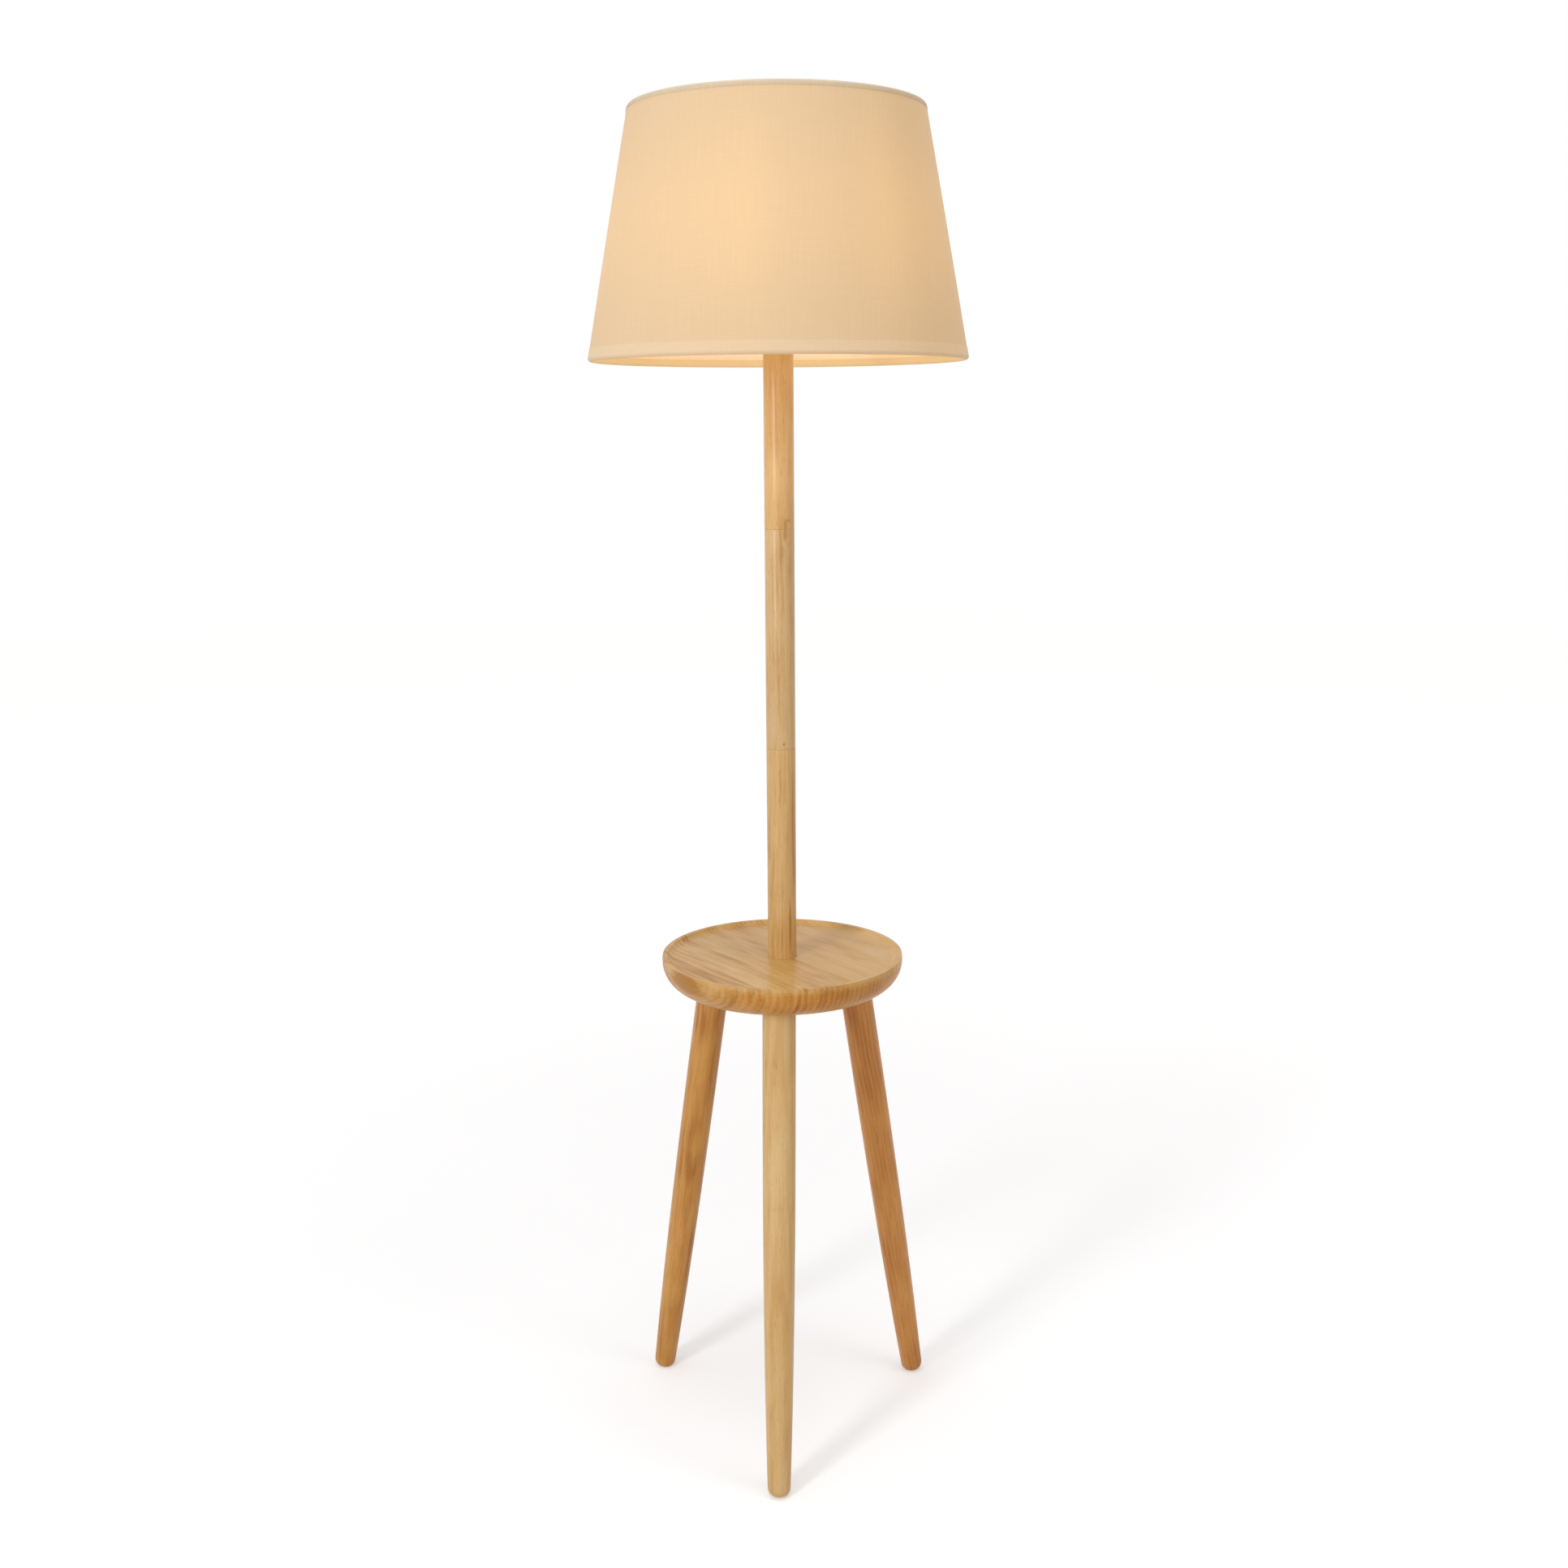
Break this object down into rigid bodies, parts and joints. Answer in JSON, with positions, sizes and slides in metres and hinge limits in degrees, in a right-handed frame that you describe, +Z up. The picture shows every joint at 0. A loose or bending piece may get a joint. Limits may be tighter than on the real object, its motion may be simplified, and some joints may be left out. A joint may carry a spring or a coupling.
{
  "type": "shelf floor lamp",
  "caption": "Floor lamp with a tapered fabric drum shade on a turned wooden pole that stands on a round dished wooden shelf carried by splayed turned legs.",
  "frame": {"origin": "on the floor, on the pole's axis", "axes": "+Z up along the pole; the front leg points towards -Y; +X to the right seen from the front"},
  "size_m": [0.422, 0.422, 1.55],
  "materials": {
    "leg_wood": "clear satin lacquer",
    "shelf_wood": "clear satin lacquer",
    "pole_wood": "clear satin lacquer",
    "zinc_steel": "bright zinc plated",
    "brass": "drawn",
    "bush_plastic": "moulded",
    "holder_plastic": "moulded",
    "core_plastic": "moulded",
    "shade_cloth": "plain woven cotton and linen, lit from within",
    "liner_film": "translucent film",
    "frame_enamel": "white powder coat",
    "bulb_diffuser": "milky",
    "bulb_housing": "moulded",
    "board_lacquer": "white solder lacquer",
    "cap_metal": "drawn",
    "insulator_plastic": "moulded"
  },
  "bodies": {
    "stand": {"leg_front": "leg_wood", "leg_back_left": "leg_wood", "leg_back_right": "leg_wood", "leg_hanger_bolts": "zinc_steel", "leg_insert_nuts": "brass", "shelf": "shelf_wood", "shelf_washer": "zinc_steel", "shelf_nut": "zinc_steel", "shelf_tube": "zinc_steel", "cable_outlet_bush": "bush_plastic", "pole_lower": "pole_wood", "pole_middle": "pole_wood", "pole_upper": "pole_wood", "pole_ferrules": "brass", "pole_nipples": "zinc_steel", "holder_nipple": "zinc_steel", "holder_lock_nut": "zinc_steel", "holder_cup": "holder_plastic", "holder_barrel": "holder_plastic", "holder_core": "core_plastic", "holder_screw_shell": "brass", "holder_centre_contact": "brass", "holder_terminal_screws": "brass"},
    "shade": {"shade_cover": "shade_cloth", "shade_liner": "liner_film", "shade_top_ring": "frame_enamel", "shade_bottom_ring": "frame_enamel", "shade_fitter": "frame_enamel", "shade_spokes": "frame_enamel"},
    "clamp_ring": {"shade_ring": "holder_plastic"},
    "bulb": {"bulb_dome": "bulb_diffuser", "bulb_body": "bulb_housing", "bulb_board": "board_lacquer", "bulb_cap": "cap_metal", "bulb_insulator": "insulator_plastic", "bulb_contact": "cap_metal"}
  },
  "joints": [
    {"name": "shade_turn", "type": "hinge", "parent": "stand", "child": "shade", "pos_m": [0, 0, 1.3494], "axis": [0, 0, 1], "continuous": true},
    {"name": "clamp_ring_turn", "type": "hinge", "parent": "stand", "child": "clamp_ring", "pos_m": [0, 0, 1.3558], "axis": [0, 0, 1], "range_deg": [0, 1080]},
    {"name": "bulb_turn", "type": "hinge", "parent": "stand", "child": "bulb", "pos_m": [0, 0, 1.37], "axis": [0, 0, 1], "range_deg": [0, 1260]}
  ]
}
